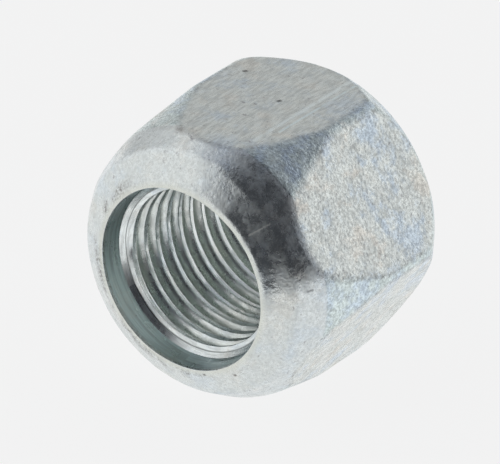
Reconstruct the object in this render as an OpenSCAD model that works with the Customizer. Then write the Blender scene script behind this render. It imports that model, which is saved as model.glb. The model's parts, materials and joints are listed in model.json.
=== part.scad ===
// Open-ended hexagon nut with a conical seat, forged and tapped from one piece of steel.
// It lies on one flat: the thread runs along Y, the seat end faces -Y, and the origin is below its middle.

/* [Hexagon] */
// Width across two opposite flats, the wrench size
across_flats = 19.05; // [17:0.05:22]
// Length from the front face at the seat end to the back face
height = 16; // [12:0.1:24]
// How far each corner edge stops short of a sharp hexagon corner
corner_blunt = 0.19; // [0.05:0.01:0.6]

/* [Seat end] */
// Included angle of the conical seat
seat_angle = 60; // [50:1:90]
// Distance behind the front face at which the seat cone meets the middle of each flat
seat_depth = 2.4; // [1.6:0.05:3]
// Width of the flat rim between the mouth of the relief and the nose chamfer
rim_width = 0.25; // [0.1:0.05:0.8]
// Slope of the nose chamfer between the rim and the seat cone, measured from the thread axis
nose_chamfer = 58; // [50:0.5:75]
// Height above the flats at which the seat cone gives way to the corner taper
seat_overrun = 0.38; // [0.1:0.02:0.7]
// Slope of the corner taper behind the seat, measured from the thread axis
corner_taper = 9.25; // [6:0.25:20]

/* [Back end] */
// Slope of the chamfer on the back corners, measured from the thread axis
back_chamfer = 32.5; // [25:0.5:60]
// How far the edge of the back face lies inside the flats
back_inset = 0.1; // [0.05:0.05:0.6]

/* [Thread] */
// Major diameter of the thread
thread_major = 12.7; // [10:0.05:13.2]
// Depth of the thread, from its crest in the bore to its root
thread_depth = 0.65; // [0.4:0.01:0.9]
// Slope of the lead-in in front of the first thread, measured from the thread axis
lead_in = 45; // [30:1:60]
// Width of the countersink at the back, beyond the thread's major diameter
countersink_margin = 0.2; // [0:0.05:0.5]
// Slope of the countersink at the back, measured from the thread axis
countersink = 45; // [30:1:60]

/* [Relief] */
// Depth of the smooth relief in the front face, before the lead-in
relief_depth = 1.6; // [0.6:0.1:3]
// Radial clearance between the floor of the relief and the thread's major diameter
relief_clearance = 0.03; // [0:0.01:0.3]
// Draft of the relief's wall, which opens towards the front
relief_draft = 10; // [0:0.5:15]

/* [Hidden] */
$fn = 96;

// Allowance by which a cut runs past the face that it leaves through
run_out = 1;

// Radii of the hexagon
flat_r = across_flats / 2;
corner_r = flat_r / cos(30) - corner_blunt;
back_r = flat_r - back_inset;

// Radii of the bore
root_r = thread_major / 2;
crest_r = root_r - thread_depth;
relief_floor_r = root_r + relief_clearance;
relief_mouth_r = relief_floor_r + relief_depth * tan(relief_draft);
countersink_r = root_r + countersink_margin;

// Depths along the bore
lead_end = relief_depth + (relief_floor_r - crest_r) / tan(lead_in);
countersink_start = height - (countersink_r - crest_r) / tan(countersink);

// Outer edge of the flat rim, where the nose chamfer starts
rim_r = relief_mouth_r + rim_width;

// Seat cone and the ring where it ends
seat_slope = seat_angle / 2;
seat_end_r = flat_r + seat_overrun;
seat_end_depth = seat_depth + seat_overrun / tan(seat_slope);

// Everything in the section of a turned body that lies inside a line of the given slope through a point
module inside_slope(r, depth, slope) {
    reach = 4 * (height + corner_r);
    polygon([
        [-2 * reach, depth - reach],
        [r - reach * tan(slope), depth - reach],
        [r + reach * tan(slope), depth + reach],
        [-2 * reach, depth + reach]
    ]);
}

// Half section of the outside as it is turned: nose chamfer, seat, corner taper, corner land and back chamfer
module outer_section() {
    intersection() {
        square([corner_r, height]);
        inside_slope(rim_r, 0, nose_chamfer);
        inside_slope(flat_r, seat_depth, seat_slope);
        inside_slope(seat_end_r, seat_end_depth, corner_taper);
        inside_slope(back_r, height, -back_chamfer);
    }
}

// Half section of the hole: relief, lead-in, bore at the thread crests and countersink
module bore_section() {
    polygon([
        [0, -run_out],
        [relief_mouth_r + run_out * tan(relief_draft), -run_out],
        [relief_floor_r, relief_depth],
        [crest_r, lead_end],
        [crest_r, countersink_start],
        [countersink_r + run_out * tan(countersink), height + run_out],
        [0, height + run_out]
    ]);
}

// The hexagon bar that the nut is pressed from, with two of its flats facing along Y
module hexagon_bar() {
    translate([0, 0, -run_out])
        cylinder(r = flat_r / cos(30), h = height + 2 * run_out, $fn = 6);
}

module nut() {
    color([0.72, 0.74, 0.74])
        translate([0, -height / 2, flat_r])
            rotate([-90, 0, 0])
                intersection() {
                    hexagon_bar();
                    rotate_extrude()
                        difference() {
                            outer_section();
                            bore_section();
                        }
                }
}

nut();
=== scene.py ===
"""Looks of an open-ended, zinc-plated hexagon nut with a conical seat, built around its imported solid.

One closed mesh with eased edges and a cut helical thread stands for the plain solid. Three finishes of the
same zinc plate dress it: a grainy one on the forged skin, a brighter one in the threaded bore and a
grey-green one on the wall of the relief.
"""

import json
import logging
import math
from dataclasses import dataclass
from enum import Enum
from typing import ClassVar

import bpy
import numpy as np
from mathutils import Matrix, Vector


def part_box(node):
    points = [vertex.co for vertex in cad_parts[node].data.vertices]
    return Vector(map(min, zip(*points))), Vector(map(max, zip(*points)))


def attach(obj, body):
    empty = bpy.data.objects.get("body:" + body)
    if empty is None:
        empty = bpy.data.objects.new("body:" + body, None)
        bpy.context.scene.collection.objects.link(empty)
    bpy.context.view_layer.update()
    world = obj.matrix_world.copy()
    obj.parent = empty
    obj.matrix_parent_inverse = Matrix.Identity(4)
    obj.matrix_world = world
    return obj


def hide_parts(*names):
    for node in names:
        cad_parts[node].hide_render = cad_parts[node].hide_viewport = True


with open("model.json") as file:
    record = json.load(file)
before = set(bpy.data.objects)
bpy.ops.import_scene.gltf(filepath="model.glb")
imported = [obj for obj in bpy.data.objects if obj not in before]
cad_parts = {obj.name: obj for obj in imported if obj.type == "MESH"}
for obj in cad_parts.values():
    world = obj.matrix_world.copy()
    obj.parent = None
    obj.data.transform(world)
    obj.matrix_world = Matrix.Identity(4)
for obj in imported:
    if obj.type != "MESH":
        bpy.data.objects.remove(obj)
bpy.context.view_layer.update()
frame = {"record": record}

Array = np.ndarray
Color = tuple[float, float, float, float]
Triple = tuple[float, float, float]
Span = tuple[float, float]
Arc = tuple[float, float, float, float]
Socket = bpy.types.NodeSocket
FedSpan = tuple[object, object]

MM = 0.001
FULL_TURN = 2.0 * math.pi
QUARTER_TURN = math.pi / 2
FLAT_COUNT = 6
FLAT_STEP = FULL_TURN / FLAT_COUNT
UNIT: Span = (0.0, 1.0)
WHITE: Color = (1.0, 1.0, 1.0, 1.0)

log = logging.getLogger("nut")


class SocketKind(Enum):
    """Kinds of socket that the shared effects take and put out."""

    VALUE = "NodeSocketFloat"
    COLOR = "NodeSocketColor"
    VECTOR = "NodeSocketVector"


class Dress(Enum):
    """Places of the three finishes in the mesh's list of materials."""

    SKIN = 0
    BORE = 1
    RELIEF = 2


class Trace(Enum):
    """Names of the values that the mesh carries at its points for the finishes to read."""

    EDGE_GAP = "edge_gap"
    FLAT = "flat"
    TAPER = "taper"
    DRAWN = "drawn"
    RIM = "rim"
    # Gap to the ring of painted burr shade on the rim and nose
    RIM_GAP = "rim_gap"
    GROOVE = "groove"


def eased_max(a: Array, b: Array, width: float) -> Array:
    """Larger of two fields, with the change from one to the other eased.

    Args:
        a: First field.
        b: Second field.
        width: Difference of the fields within which the change is eased.

    Returns:
        The eased field, never below either of the two.
    """
    overlap = np.maximum(width - np.abs(a - b), 0.0)
    return np.maximum(a, b) + overlap * overlap / (4.0 * width)


def eased_min(a: Array, b: Array, width: float) -> Array:
    """Smaller of two fields, eased in the same way as eased_max."""
    return -eased_max(-a, -b, width)


def swell(angle: Array, arc: Arc) -> Array:
    """Share that rises and falls smoothly over an arc.

    Args:
        angle: Angles in radians.
        arc: Angles in degrees at which it leaves nought, reaches one, leaves one and is back at nought.

    Returns:
        The share at each angle.
    """
    degrees = np.degrees(np.mod(angle + math.pi, FULL_TURN) - math.pi)
    share = np.interp(degrees, arc, (0.0, 1.0, 1.0, 0.0))
    return share * share * (3.0 - 2.0 * share)


def stretch(start: float, end: float, count: int) -> list[float]:
    """Even steps from start up to, and without, end."""
    return [float(x) for x in np.linspace(start, end, count, endpoint=False)]


@dataclass(frozen=True)
class NutSizes:
    """Sizes of the nut in millimetres and radians.

    Radii are measured from the thread axis, and depths along it from the front face at the seat end.
    """

    flat_r: float
    corner_r: float
    height: float
    crest_r: float
    seat_slope: float = math.radians(30.0)
    seat_depth: float = 2.4
    seat_overrun: float = 0.38
    rim_width: float = 0.25
    nose_slope: float = math.radians(58.0)
    taper: float = math.radians(9.25)
    back_chamfer: float = math.radians(32.5)
    back_inset: float = 0.1
    thread_depth: float = 0.65
    pitch: float = 1.27
    flank: float = math.radians(30.0)
    lead_in: float = math.radians(45.0)
    countersink: float = math.radians(45.0)
    countersink_margin: float = 0.2
    relief_depth: float = 1.6
    relief_clearance: float = 0.03
    relief_draft: float = math.radians(10.0)

    @classmethod
    def from_frame(cls, node: str, thread_mount: str) -> "NutSizes":
        """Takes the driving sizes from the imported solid.

        Args:
            node: Name of the solid's node.
            thread_mount: Name of the mount that gives the bore at the thread crests.

        Returns:
            The sizes, with the rest at their set values.
        """
        low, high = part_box(node)
        span = (high - low) / MM
        mount = next(m for m in frame["record"]["mounts"] if m["name"] == thread_mount)
        return cls(span.z / 2, span.x / 2, span.y, mount["dims"]["r_mm"])

    @property
    def root_r(self) -> float:
        """Radius at the thread roots."""
        return self.crest_r + self.thread_depth

    @property
    def seat_end_r(self) -> float:
        """Radius of the ring where the seat cone ends."""
        return self.flat_r + self.seat_overrun

    @property
    def seat_end_depth(self) -> float:
        """Depth of the ring where the seat cone ends."""
        return self.seat_depth + self.seat_overrun / math.tan(self.seat_slope)

    @property
    def rim_r(self) -> float:
        """Radius of the ring where the flat rim turns into the nose chamfer."""
        return self.relief_mouth_r + self.rim_width

    @property
    def nose_end_depth(self) -> float:
        """Depth of the ring where the nose chamfer meets the seat cone."""
        seat_front_r = self.flat_r - self.seat_depth * math.tan(self.seat_slope)
        return (seat_front_r - self.rim_r) / (math.tan(self.nose_slope) - math.tan(self.seat_slope))

    @property
    def nose_end_r(self) -> float:
        """Radius of the ring where the nose chamfer meets the seat cone."""
        return self.rim_r + self.nose_end_depth * math.tan(self.nose_slope)

    @property
    def back_r(self) -> float:
        """Radius of the back face."""
        return self.flat_r - self.back_inset

    @property
    def relief_floor_r(self) -> float:
        """Radius of the relief at its floor."""
        return self.root_r + self.relief_clearance

    @property
    def relief_mouth_r(self) -> float:
        """Radius of the relief at the front face."""
        return self.relief_floor_r + self.relief_depth * math.tan(self.relief_draft)

    @property
    def countersink_r(self) -> float:
        """Radius of the countersink at the back face."""
        return self.root_r + self.countersink_margin

    def to_frame(self, depth: Array, radius: Array, angle: Array) -> Array:
        """Turns cylinder coordinates into points of the shared frame.

        Args:
            depth: Depths behind the front face.
            radius: Distances from the thread axis.
            angle: Angles about it, from the top flat's middle towards +X.

        Returns:
            Points in metres, one per row.
        """
        x = radius * np.sin(angle)
        y = depth - self.height / 2
        z = self.flat_r + radius * np.cos(angle)
        return np.stack(np.broadcast_arrays(x, y, z), axis=-1).reshape(-1, 3) * MM


@dataclass(frozen=True)
class Ripple:
    """Smooth seeded unevenness, a sum of waves in space with lengths in millimetres."""

    seed: int
    shortest: float
    longest: float
    waves: int = 28

    def at(self, points: Array) -> Array:
        """Unevenness at some points.

        Args:
            points: Points in metres, one per row.

        Returns:
            A value for each point, from 0 to 1 and 0.5 in the mean.
        """
        draw = np.random.default_rng(self.seed)
        total = np.zeros(len(points))
        for _ in range(self.waves):
            direction = draw.normal(size=3)
            direction /= np.linalg.norm(direction)
            length = draw.uniform(self.shortest, self.longest)
            total += np.sin(points @ direction * (FULL_TURN / (length * MM)) + draw.uniform(0, FULL_TURN))
        return np.clip(0.5 + total / (2.0 * math.sqrt(2.0 * self.waves)), 0.0, 1.0)


@dataclass(frozen=True)
class MeshSheet:
    """A grid of points, row by row and column by column, with the values that the finishes read."""

    depth: Array
    radius: Array
    angle: Array
    traces: dict[Trace, Array]


@dataclass(frozen=True)
class ForgedSkin:
    """The skin of the nut, from the lead-in and the relief over front, flats and back to the countersink.

    Sizes are in millimetres and radians, arcs in degrees. An ease is the radius or width of a rounded edge,
    and rows and columns count the points of the grid.
    """

    sizes: NutSizes
    columns_inside: int = 20
    columns_outside: int = 12
    crowding: float = 1.35
    least_edge: float = math.radians(3.0)
    # The ledge between the lead-in and the thread, and where it runs deeper or steps inwards
    entry_r: float = 6.07
    entry_slope: float = math.radians(70.0)
    entry_run: float = 0.22
    entry_run_arc: Arc = (-107.0, -90.0, -78.0, -50.0)
    entry_step: float = 0.06
    entry_step_arc: Arc = (-154.0, -142.0, -130.0, -116.0)
    lead_steps: tuple[float, ...] = (0.0, 0.1, 0.4, 0.7, 0.92)
    # The relief's wall and mouth, the rim and the nose
    wall_start: float = 0.05
    wall_rows: int = 9
    mouth_ease: float = 0.05
    mouth_roll: float = 0.08
    mouth_rows: int = 7
    rim_rows: int = 2
    rim_ease: float = 0.85
    rim_bend_rows: int = 5
    nose_rows: int = 12
    nose_ease: float = 1.0
    nose_bend_rows: int = 6
    # The sides, met by rays, with rows for the cone, the ring, the taper, the land and the chamfer
    ring_ease: float = 0.18
    land_ease: float = 0.05
    chamfer_ease: float = 0.5
    flat_ease: float = 0.2
    back_ease: float = 0.12
    side_rows: tuple[int, ...] = (7, 22, 22, 10, 24)
    seat_margin: float = 0.2
    ring_margin: float = 0.24
    taper_margin: float = 0.5
    chamfer_margin: float = 0.2
    ray_foot: float = 8.0
    ray_reach: float = 3.5
    halvings: int = 42
    # The back edge, met by a fan of rays, the back face and the lip of the countersink
    fan_depth: float = 0.45
    fan_foot: float = 8.8
    fan_rows: int = 15
    face_rows: int = 6
    lip_ease: float = 0.1
    lip_rows: int = 4
    bore_lip: float = 0.14
    # Unevenness of the forging, and what the finishes read
    unevenness: float = 0.016
    flat_ripple: Ripple = Ripple(11, 0.9, 4.0)
    turned_ripple: Ripple = Ripple(23, 0.9, 4.0)
    clear_gap: float = 1.0
    rim_facing: float = math.radians(40.0)
    # Radius of the ring where painted shade stands in for the shadow of a burr at the relief's lip
    burr_shade_r: float = 7.2
    drawn_flats: tuple[float, ...] = (1.0, 0.0, 0.3, 0.8, 0.1, 0.5)

    @property
    def columns(self) -> int:
        """Number of columns round the whole nut."""
        return 2 * FLAT_COUNT * (self.columns_inside + self.columns_outside)

    @property
    def nose_tangent(self) -> float:
        """Length of cone that easing the nose's end takes up on either side of it."""
        turn = self.sizes.nose_slope - self.sizes.seat_slope
        return self.nose_ease * math.tan(turn / 2)

    @property
    def entry_depth(self) -> float:
        """Depth at which the lead-in turns into the narrow ledge before the thread."""
        s = self.sizes
        return s.relief_depth + (s.relief_floor_r - self.entry_r) / math.tan(s.lead_in)

    @property
    def entry_end(self) -> float:
        """Depth at which the ledge meets the bore, away from where it runs deeper."""
        return self.entry_depth + (self.entry_r - self.sizes.crest_r) / math.tan(self.entry_slope)

    @property
    def lead_rows(self) -> int:
        """Number of rows on the ledge and the lead-in."""
        return 2 * len(self.lead_steps)

    @staticmethod
    def from_flat(angle: Array) -> Array:
        """Angle from the middle of the nearest flat."""
        return np.mod(angle + FLAT_STEP / 2, FLAT_STEP) - FLAT_STEP / 2

    def ring(self, values: Array) -> Array:
        """Repeats one value per row round all columns."""
        return np.repeat(values[:, None], self.columns, axis=1)

    def dress(self, row: int) -> Dress:
        """Finish of the faces behind a row's points.

        Args:
            row: Number of the row.

        Returns:
            The finish.
        """
        if row < self.lead_rows:
            return Dress.BORE
        return Dress.RELIEF if row < self.lead_rows + self.wall_rows - 1 else Dress.SKIN

    def turned_fields(self, depth: Array, radius: Array) -> tuple[Array, Array, Array, Array]:
        """Distances outside the turned faces.

        Args:
            depth: Depths behind the front face.
            radius: Distances from the thread axis.

        Returns:
            Distances outside the seat cone, the corner taper, the corner land and the back chamfer.
        """
        s = self.sizes
        seat = radius - s.flat_r - (depth - s.seat_depth) * math.tan(s.seat_slope)
        taper = radius - s.seat_end_r - (depth - s.seat_end_depth) * math.tan(s.taper)
        land = radius - s.corner_r
        back = radius - s.back_r - (s.height - depth) * math.tan(s.back_chamfer)
        return (
            seat * math.cos(s.seat_slope),
            taper * math.cos(s.taper),
            land,
            back * math.cos(s.back_chamfer),
        )

    def turned(self, depth: Array, radius: Array) -> Array:
        """Distance outside the turned body, eased between its faces.

        Args:
            depth: Depths behind the front face.
            radius: Distances from the thread axis.

        Returns:
            The eased distance at each point.
        """
        seat, taper, land, back = self.turned_fields(depth, radius)
        front = eased_max(eased_max(seat, taper, self.ring_ease), land, self.land_ease)
        return eased_max(front, back, self.chamfer_ease)

    def turned_radius(self, depth: Array) -> Array:
        """Radius of the sharp turned body.

        Args:
            depth: Depths behind the front face.

        Returns:
            Radius of the innermost turned face at each depth.
        """
        s = self.sizes
        fields = self.turned_fields(depth, np.zeros_like(depth))
        slopes = (math.cos(s.seat_slope), math.cos(s.taper), 1.0, math.cos(s.back_chamfer))
        return np.min([-field / slope for field, slope in zip(fields, slopes)], axis=0)

    def outer_radius(self, depth: float, angle: float) -> float:
        """Radius of the sharp outside at one place.

        Args:
            depth: Depth behind the front face.
            angle: Angle about the axis.

        Returns:
            Radius of the innermost face there.
        """
        nose = self.sizes.rim_r + depth * math.tan(self.sizes.nose_slope)
        turned = float(self.turned_radius(np.array([depth]))[0])
        flat = self.sizes.flat_r / math.cos(float(self.from_flat(np.array([angle]))[0]))
        return min(nose, turned, flat)

    def edge_angle(self, depth: Array) -> Array:
        """Angle from a flat's middle to its edge at some depths."""
        ratio = self.sizes.flat_r / np.maximum(self.turned_radius(depth), self.sizes.flat_r)
        return np.maximum(np.arccos(ratio), self.least_edge)

    def lead_section(self) -> list[Triple]:
        """Section from the bore up the ledge and the lead-in.

        Returns:
            Depth, radius and facing of each point, as turned_rows gives them.
        """
        s = self.sizes
        corners = (
            (self.entry_end, s.crest_r),
            (self.entry_depth, self.entry_r),
            (s.relief_depth, s.relief_floor_r),
        )
        rows = []
        for start, end, slope in zip(corners, corners[1:], (self.entry_slope, s.lead_in)):
            for share in self.lead_steps:
                depth, radius = (a + (b - a) * share for a, b in zip(start, end))
                rows.append((depth, radius, slope - QUARTER_TURN))
        return rows

    def entry_end_at(self, angle: Array) -> Array:
        """Depth at which the ledge meets the bore at some angles."""
        return self.entry_end + self.entry_run * swell(angle, self.entry_run_arc)

    def shape_entry(self, depth: Array, radius: Array, angle: Array) -> None:
        """Moves the ledge's rows to where the thread starts.

        Args:
            depth: Depths of the first rows, changed in place.
            radius: Radii of the first rows, changed in place.
            angle: Angles of the first rows.
        """
        steps = len(self.lead_steps)
        for row, share in enumerate(self.lead_steps):
            depth[row] += (1.0 - share) * self.entry_run * swell(angle[row], self.entry_run_arc)
            for moved, part in ((row, share), (row + steps, 1.0 - share)):
                inwards = part * self.entry_step * swell(angle[moved], self.entry_step_arc)
                depth[moved] += inwards
                radius[moved] -= inwards

    @staticmethod
    def bend(start: Span, radius: float, first: float, last: float, count: int) -> list[Triple]:
        """Arc of a section.

        Args:
            start: Depth and radius of its first point.
            radius: Radius of the arc.
            first: Angle by which its first point faces outwards.
            last: Angle by which its end faces outwards.
            count: Number of points, without the end.

        Returns:
            Depth, radius and facing of each point.
        """
        return [
            (
                start[0] + radius * (math.cos(first) - math.cos(turn)),
                start[1] + radius * (math.sin(turn) - math.sin(first)),
                turn,
            )
            for turn in stretch(first, last, count)
        ]

    def turned_rows(self) -> list[Triple]:
        """Section up the lead-in and the relief, over its mouth and the rim and round the nose.

        Returns:
            Depth and radius of each point, and the angle by which it faces outwards from the front.
        """
        s = self.sizes
        ease = self.mouth_ease
        sharp_r = s.relief_mouth_r - self.mouth_roll
        draft = math.atan((sharp_r - s.relief_floor_r) / s.relief_depth)
        mouth_r = sharp_r - ease * math.tan(draft) + ease / math.cos(draft)
        wall_end = ease - ease * math.sin(draft)
        nose_facing = QUARTER_TURN - s.nose_slope
        seat_facing = QUARTER_TURN - s.seat_slope
        rim_tangent = self.rim_ease * math.tan(nose_facing / 2)
        rim_end = (0.0, s.rim_r - rim_tangent)
        nose_start = (rim_tangent * math.cos(s.nose_slope), s.rim_r + rim_tangent * math.sin(s.nose_slope))
        nose_end = (
            s.nose_end_depth - self.nose_tangent * math.cos(s.nose_slope),
            s.nose_end_r - self.nose_tangent * math.sin(s.nose_slope),
        )
        rows = self.lead_section()
        wall = [s.relief_depth, *stretch(s.relief_depth - self.wall_start, wall_end, self.wall_rows - 1)]
        rows += [(depth, sharp_r - depth * math.tan(draft), draft - QUARTER_TURN) for depth in wall]
        for turn in stretch(draft, QUARTER_TURN, self.mouth_rows):
            depth = ease - ease * math.sin(turn)
            rows.append((depth, mouth_r - ease * math.cos(turn), turn - QUARTER_TURN))
        rows += [(0.0, radius, 0.0) for radius in stretch(mouth_r, rim_end[1], self.rim_rows)]
        rows += self.bend(rim_end, self.rim_ease, 0.0, nose_facing, self.rim_bend_rows)
        for depth, radius in zip(*(stretch(a, b, self.nose_rows) for a, b in zip(nose_start, nose_end))):
            rows.append((depth, radius, nose_facing))
        rows += self.bend(nose_end, self.nose_ease, nose_facing, seat_facing, self.nose_bend_rows)
        return rows

    def ray_rows(self) -> list[Triple]:
        """Rays that meet the cone, the flats and the back edge.

        Returns:
            Depth and radius of each ray's foot, and its slant towards the back.
        """
        s = self.sizes
        taper_end = s.seat_end_depth + (s.corner_r - s.seat_end_r) / math.tan(s.taper)
        chamfer_start = s.height - (s.corner_r - s.back_r) / math.tan(s.back_chamfer)
        fan_depth = s.height - self.fan_depth
        borders = (
            s.nose_end_depth + self.nose_tangent * math.cos(s.seat_slope),
            s.seat_depth - self.seat_margin,
            s.seat_end_depth + self.ring_margin,
            taper_end + self.taper_margin,
            chamfer_start - self.chamfer_margin,
            fan_depth,
        )
        rays = []
        for start, end, count in zip(borders, borders[1:], self.side_rows):
            rays += [(depth, self.ray_foot, 0.0) for depth in stretch(start, end, count)]
        rays += [(fan_depth, self.fan_foot, slant) for slant in stretch(0.0, QUARTER_TURN, self.fan_rows)]
        return rays

    def back_rows(self) -> list[Span]:
        """Section over the back face and round the lip of the countersink.

        Returns:
            Depth and radius of each point.
        """
        s = self.sizes
        ease = self.lip_ease
        slope = QUARTER_TURN - s.countersink
        lip_r = s.countersink_r + ease * math.tan(slope / 2)
        rows = [(s.height, radius) for radius in stretch(self.fan_foot, lip_r, self.face_rows)]
        for turn in np.linspace(0.0, slope, self.lip_rows):
            rows.append((s.height - ease + ease * math.cos(turn), lip_r - ease * math.sin(turn)))
        return rows

    def column_angles(self, edge: Array, spread: Array) -> Array:
        """Angles of all columns, which follow the edges of the flats.

        Args:
            edge: Angle of the flats' edge in each row.
            spread: Share, in each row, by which the columns are evenly spaced instead.

        Returns:
            Angles with one row per given row and one column per column of the grid.
        """
        half_flat = FLAT_STEP / 2
        inside = 1.0 - (1.0 - np.linspace(0.0, 1.0, self.columns_inside + 1)) ** self.crowding
        outside = np.linspace(0.0, 1.0, self.columns_outside + 1)[1:] ** self.crowding
        edge = edge[:, None]
        followed = np.hstack([edge * inside, edge + (half_flat - edge) * outside])
        even = np.linspace(0.0, half_flat, followed.shape[1])
        quarter = followed + (even - followed) * spread[:, None]
        whole = np.hstack([quarter, FLAT_STEP - quarter[:, -2:0:-1]])
        return np.hstack([whole + flat * FLAT_STEP for flat in range(FLAT_COUNT)])

    def grid_angles(self, front_count: int, rays: Array, back_count: int) -> Array:
        """Angles of the whole grid, even at its two ends and along the edges of the flats between them.

        Args:
            front_count: Number of rows before the rays.
            rays: The rays, as ray_rows gives them.
            back_count: Number of rows after the rays.

        Returns:
            Angles, row by row.
        """
        s = self.sizes
        foot_depth, foot_r, slant = rays.T
        chamfer = math.tan(s.back_chamfer)
        to_chamfer = s.back_r + (s.height - foot_depth) * chamfer - foot_r
        reach = to_chamfer / (np.cos(slant) + np.sin(slant) * chamfer)
        edge_depth = np.minimum(foot_depth + reach * np.sin(slant), s.height)
        around = (front_count, back_count)
        edge = np.pad(self.edge_angle(edge_depth), around, constant_values=self.least_edge)
        cone_count = int(np.sum(foot_depth < s.seat_depth))
        spread = np.concatenate(
            [
                np.ones(front_count),
                np.linspace(1.0, 0.0, cone_count),
                np.zeros(len(rays) - cone_count),
                np.linspace(0.0, 1.0, back_count),
            ]
        )
        return self.column_angles(edge, spread)

    def meet(self, foot_depth: Array, foot_r: Array, slant: Array, angle: Array, bites: Array) -> Array:
        """Finds where rays meet the skin.

        Args:
            foot_depth: Depth of each ray's foot.
            foot_r: Radius of each ray's foot.
            slant: Angle of each ray from the radial direction towards the back.
            angle: Angle of each point about the axis.
            bites: How far the flats and the turned faces lie inside their true places, stacked.

        Returns:
            Distance from the foot to the skin along each ray.
        """
        near = np.zeros_like(angle)
        far = np.full_like(angle, self.ray_reach)
        for _ in range(self.halvings):
            middle = (near + far) / 2
            depth = foot_depth + middle * np.sin(slant)
            radius = foot_r + middle * np.cos(slant)
            flat = radius * np.cos(self.from_flat(angle)) - self.sizes.flat_r + bites[0]
            side = eased_max(self.turned(depth, radius) + bites[1], flat, self.flat_ease)
            outside = eased_max(side, depth - self.sizes.height, self.back_ease) > 0
            far = np.where(outside, middle, far)
            near = np.where(outside, near, middle)
        return (near + far) / 2

    def met_part(self, rays: Array, angle: Array) -> tuple[Array, Array]:
        """Part of the grid where rays meet the uneven skin.

        Args:
            rays: The rays, as ray_rows gives them.
            angle: Angles of this part of the grid.

        Returns:
            Depth and radius of each point.
        """
        foot_depth, foot_r, slant = (column[:, None] for column in rays.T)

        def met(bites: Array) -> tuple[Array, Array]:
            """Depth and radius of the points for some bites."""
            distance = self.meet(foot_depth, foot_r, slant, angle, bites)
            return foot_depth + distance * np.sin(slant), foot_r + distance * np.cos(slant)

        points = self.sizes.to_frame(*met(np.zeros((2, *angle.shape))), angle)
        ripples = (self.flat_ripple, self.turned_ripple)
        bites = np.array([ripple.at(points).reshape(angle.shape) for ripple in ripples])
        return met(self.unevenness * bites)

    def turned_part(self, section: Array, angle: Array) -> tuple[Array, Array]:
        """Part of the grid that is turned from a section, uneven and with its ledge shaped.

        Args:
            section: The section, as turned_rows gives it.
            angle: Angles of this part of the grid.

        Returns:
            Depth and radius of each point.
        """
        depth, radius, facing = (self.ring(values) for values in section.T)
        points = self.sizes.to_frame(depth, radius, angle)
        bite = self.unevenness * self.turned_ripple.at(points).reshape(radius.shape)
        depth = depth + bite * np.cos(facing)
        radius = radius - bite * np.sin(facing)
        self.shape_entry(depth, radius, angle)
        return depth, radius

    def sheet(self) -> MeshSheet:
        """Builds the grid of the skin.

        Returns:
            The grid, with its traces.
        """
        section = np.array(self.turned_rows())
        rays = np.array(self.ray_rows())
        back = np.array(self.back_rows())
        angle = self.grid_angles(len(section), rays, len(back))
        rays_end = len(section) + len(rays)
        front_depth, front_r = self.turned_part(section, angle[:len(section)])
        side_depth, side_r = self.met_part(rays, angle[len(section):rays_end])
        depth = np.vstack([front_depth, side_depth, self.ring(back[:, 0])])
        radius = np.vstack([front_r, side_r, self.ring(back[:, 1])])
        facing = self.ring(section[:, 2])
        return MeshSheet(depth, radius, angle, self.traces(depth, radius, angle, facing))

    def traces(self, depth: Array, radius: Array, angle: Array, facing: Array) -> dict[Trace, Array]:
        """Values that the finishes read on the skin.

        Args:
            depth: Depth of each point.
            radius: Radius of each point.
            angle: Angle of each point about the axis.
            facing: Angle by which the points of the first rows face outwards from the front.

        Returns:
            The values of each trace in the shape of the grid.
        """
        rows = len(facing)
        inner_rows = self.lead_rows + self.wall_rows
        lead = radius * np.cos(self.from_flat(angle)) - self.sizes.flat_r - self.turned(depth, radius)
        gap = np.minimum(np.abs(lead), self.clear_gap)
        gap[:rows] = self.clear_gap
        share = np.clip(0.5 + lead / self.flat_ease, 0.0, 1.0)
        flat = np.rint(angle / FLAT_STEP).astype(int) % FLAT_COUNT
        rim = np.zeros_like(depth)
        rim[:rows] = np.clip(1.0 - np.abs(facing) / self.rim_facing, 0.0, 1.0)
        # Gap to the ring of painted burr shade, on the front rows only
        rim_gap = np.full_like(depth, self.clear_gap)
        rim_gap[:rows] = np.minimum(np.abs(radius[:rows] - self.burr_shade_r), self.clear_gap)
        rim_gap[:inner_rows] = self.clear_gap
        drawn = share * np.array(self.drawn_flats)[flat]
        drawn[:inner_rows] = 1.0
        behind_ring = np.clip((depth - self.sizes.seat_end_depth) / self.ring_ease + 0.5, 0.0, 1.0)
        taper = (1.0 - share) * behind_ring
        taper[:rows] = 0.0
        return {
            Trace.EDGE_GAP: gap,
            Trace.FLAT: share,
            Trace.TAPER: taper,
            Trace.DRAWN: drawn,
            Trace.RIM: rim,
            Trace.RIM_GAP: rim_gap,
            Trace.GROOVE: np.zeros_like(depth),
        }


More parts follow.
